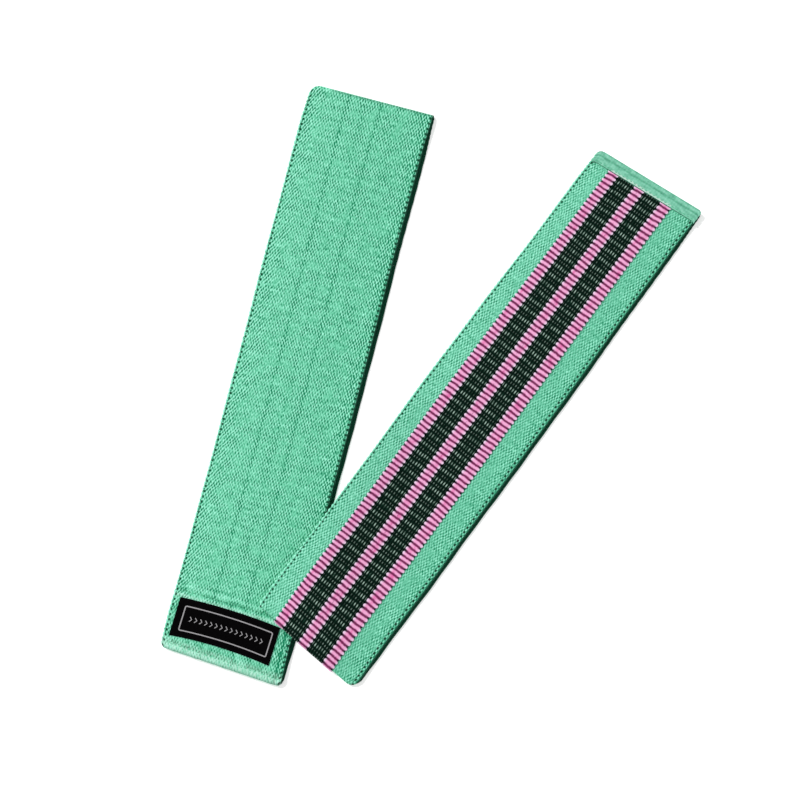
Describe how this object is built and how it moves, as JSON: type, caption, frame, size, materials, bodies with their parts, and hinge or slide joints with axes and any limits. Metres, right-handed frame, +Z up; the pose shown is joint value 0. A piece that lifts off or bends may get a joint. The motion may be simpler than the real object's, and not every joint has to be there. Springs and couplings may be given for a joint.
{
  "type": "resistance band",
  "caption": "Fabric hip resistance bands laid flat: a green elastic loop with a black woven label, and its mate turned inside out to show the pink and black grip stripes.",
  "frame": {"origin": "centre of the bounding box on the surface that both bands lie on", "axes": "+Y runs along the band that is right side out, from its labelled seam end to its folded end; +X points right across it, towards the inside-out band; +Z is up out of the surface"},
  "size_m": [0.2656, 0.3876, 0.0129],
  "materials": {
    "webbing": "matte mint green woven elastic",
    "grip_lining": "matte ribbed pink stripes and black stripes with exposed rubber threads",
    "label": "matte black woven label and its black stitching",
    "thread": "matte green sewing thread"
  },
  "bodies": {
    "label_band_base": {"label_band_webbing_near_fold": "webbing", "label_band_webbing_lower_near": "webbing", "label_band_webbing_upper_base": "webbing", "label_band_grip_lining_lower_near": "grip_lining", "label_band_grip_lining_upper_base": "grip_lining", "label_band_seam_hem": "webbing", "label_band_woven_label": "label", "label_band_label_stitching": "label", "label_band_seam_stitching_upper": "thread", "label_band_seam_stitching_lower": "thread"},
    "label_band_lower_middle": {"label_band_webbing_lower_middle": "webbing", "label_band_grip_lining_lower_middle": "grip_lining"},
    "label_band_lower_far": {"label_band_webbing_lower_far": "webbing", "label_band_grip_lining_lower_far": "grip_lining"},
    "label_band_far_fold": {"label_band_webbing_far_fold": "webbing", "label_band_grip_lining_far_fold": "grip_lining"},
    "label_band_upper_near": {"label_band_webbing_upper_near": "webbing", "label_band_grip_lining_upper_near": "grip_lining"},
    "label_band_upper_middle": {"label_band_webbing_upper_middle": "webbing", "label_band_grip_lining_upper_middle": "grip_lining"},
    "label_band_upper_far": {"label_band_webbing_upper_far": "webbing", "label_band_grip_lining_upper_far": "grip_lining"},
    "grip_band_base": {"grip_band_webbing_near_fold": "webbing", "grip_band_webbing_lower_near": "webbing", "grip_band_webbing_upper_base": "webbing", "grip_band_grip_lining_near_fold": "grip_lining", "grip_band_grip_lining_lower_near": "grip_lining", "grip_band_grip_lining_upper_base": "grip_lining"},
    "grip_band_lower_middle": {"grip_band_webbing_lower_middle": "webbing", "grip_band_grip_lining_lower_middle": "grip_lining"},
    "grip_band_lower_far": {"grip_band_webbing_lower_far": "webbing", "grip_band_grip_lining_lower_far": "grip_lining", "grip_band_woven_label": "label"},
    "grip_band_far_fold": {"grip_band_webbing_far_fold": "webbing", "grip_band_seam_hem": "webbing", "grip_band_seam_stitching_outer": "thread", "grip_band_seam_stitching_inner": "thread"},
    "grip_band_upper_near": {"grip_band_webbing_upper_near": "webbing", "grip_band_grip_lining_upper_near": "grip_lining"},
    "grip_band_upper_middle": {"grip_band_webbing_upper_middle": "webbing", "grip_band_grip_lining_upper_middle": "grip_lining"},
    "grip_band_upper_far": {"grip_band_webbing_upper_far": "webbing", "grip_band_grip_lining_upper_far": "grip_lining"}
  },
  "joints": [
    {"name": "label_band_stretch", "type": "slide", "parent": "label_band_base", "child": "label_band_lower_middle", "axis": [0, 1, 0], "range_m": [0, 0.12], "stiffness_N_per_m": 700},
    {"name": "label_band_upper_stretch", "type": "slide", "parent": "label_band_upper_middle", "child": "label_band_upper_far", "axis": [0, 1, 0], "range_m": [0, 0.12]},
    {"name": "label_band_open", "type": "hinge", "parent": "label_band_base", "child": "label_band_upper_near", "pos_m": [-0.09206, -0.07579, 0.00445], "axis": [1, 0, 0], "range_deg": [0, 60]},
    {"name": "label_band_lower_far_lift", "type": "hinge", "parent": "label_band_lower_middle", "child": "label_band_lower_far", "pos_m": [-0.09206, 0.08971, 0.00115], "axis": [1, 0, 0], "range_deg": [0, 60]},
    {"name": "label_band_upper_level", "type": "hinge", "parent": "label_band_upper_near", "child": "label_band_upper_middle", "pos_m": [-0.09206, 0.00921, 0.00445], "axis": [1, 0, 0], "range_deg": [-60, 0]},
    {"name": "label_band_fold_level", "type": "hinge", "parent": "label_band_lower_far", "child": "label_band_far_fold", "pos_m": [-0.09206, 0.17471, 0.00115], "axis": [1, 0, 0], "range_deg": [-60, 0]},
    {"name": "grip_band_stretch", "type": "slide", "parent": "grip_band_base", "child": "grip_band_lower_middle", "axis": [0.3623, 0.9321, 0], "range_m": [0, 0.12], "stiffness_N_per_m": 700},
    {"name": "grip_band_upper_stretch", "type": "slide", "parent": "grip_band_upper_middle", "child": "grip_band_upper_far", "axis": [0.3623, 0.9321, 0], "range_m": [0, 0.12]},
    {"name": "grip_band_open", "type": "hinge", "parent": "grip_band_base", "child": "grip_band_upper_near", "pos_m": [-0.02913, -0.13989, 0.01117], "axis": [0.9321, -0.3623, 0], "range_deg": [0, 60]},
    {"name": "grip_band_lower_far_lift", "type": "hinge", "parent": "grip_band_lower_middle", "child": "grip_band_lower_far", "pos_m": [0.05629, 0.07989, 0.00322], "axis": [0.9321, -0.3623, 0], "range_deg": [0, 60]},
    {"name": "grip_band_upper_level", "type": "hinge", "parent": "grip_band_upper_near", "child": "grip_band_upper_middle", "pos_m": [0.00709, -0.0467, 0.0092], "axis": [0.9321, -0.3623, 0], "range_deg": [-60, 0]},
    {"name": "grip_band_fold_level", "type": "hinge", "parent": "grip_band_lower_far", "child": "grip_band_far_fold", "pos_m": [0.09251, 0.17308, 0.00124], "axis": [0.9321, -0.3623, 0], "range_deg": [-60, 0]},
    {"name": "grip_band_lift_off", "type": "slide", "parent": "label_band_base", "child": "grip_band_base", "axis": [0, 0, 1], "range_m": [0, 0.12]}
  ],
  "couplings": [
    {"joint": "label_band_upper_stretch", "follows": "label_band_stretch", "ratio": 1},
    {"joint": "label_band_fold_level", "follows": "label_band_open", "ratio": -1},
    {"joint": "label_band_lower_far_lift", "follows": "label_band_open", "ratio": 1},
    {"joint": "label_band_upper_level", "follows": "label_band_open", "ratio": -1},
    {"joint": "grip_band_upper_stretch", "follows": "grip_band_stretch", "ratio": 1},
    {"joint": "grip_band_fold_level", "follows": "grip_band_open", "ratio": -1},
    {"joint": "grip_band_lower_far_lift", "follows": "grip_band_open", "ratio": 1},
    {"joint": "grip_band_upper_level", "follows": "grip_band_open", "ratio": -1}
  ]
}
